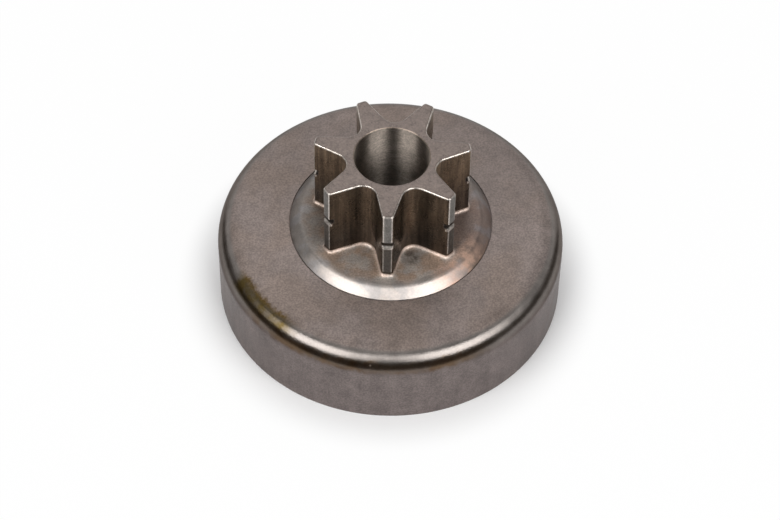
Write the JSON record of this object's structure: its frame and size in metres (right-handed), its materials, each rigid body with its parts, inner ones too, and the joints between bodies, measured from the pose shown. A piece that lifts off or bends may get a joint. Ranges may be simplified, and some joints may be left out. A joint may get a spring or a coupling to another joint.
{
  "type": "chainsaw sprocket",
  "caption": "Steel clutch drum for a chainsaw with a toothed spur sprocket brazed on its closed face and a bearing bore through it.",
  "frame": {"origin": "middle of the drum's open rim, on the surface that it stands on", "axes": "+Z along the drum's axis towards the sprocket's teeth; -Y along the middle of one tooth"},
  "size_m": [0.08, 0.08, 0.0439],
  "materials": {
    "drum_steel": "satin drawn steel, warm grey, lightly mottled",
    "sprocket_steel": "satin hardened steel with brazing heat tints round the flange"
  },
  "bodies": {
    "root": {"clutch_drum": "drum_steel", "spur_sprocket": "sprocket_steel"}
  },
  "joints": []
}
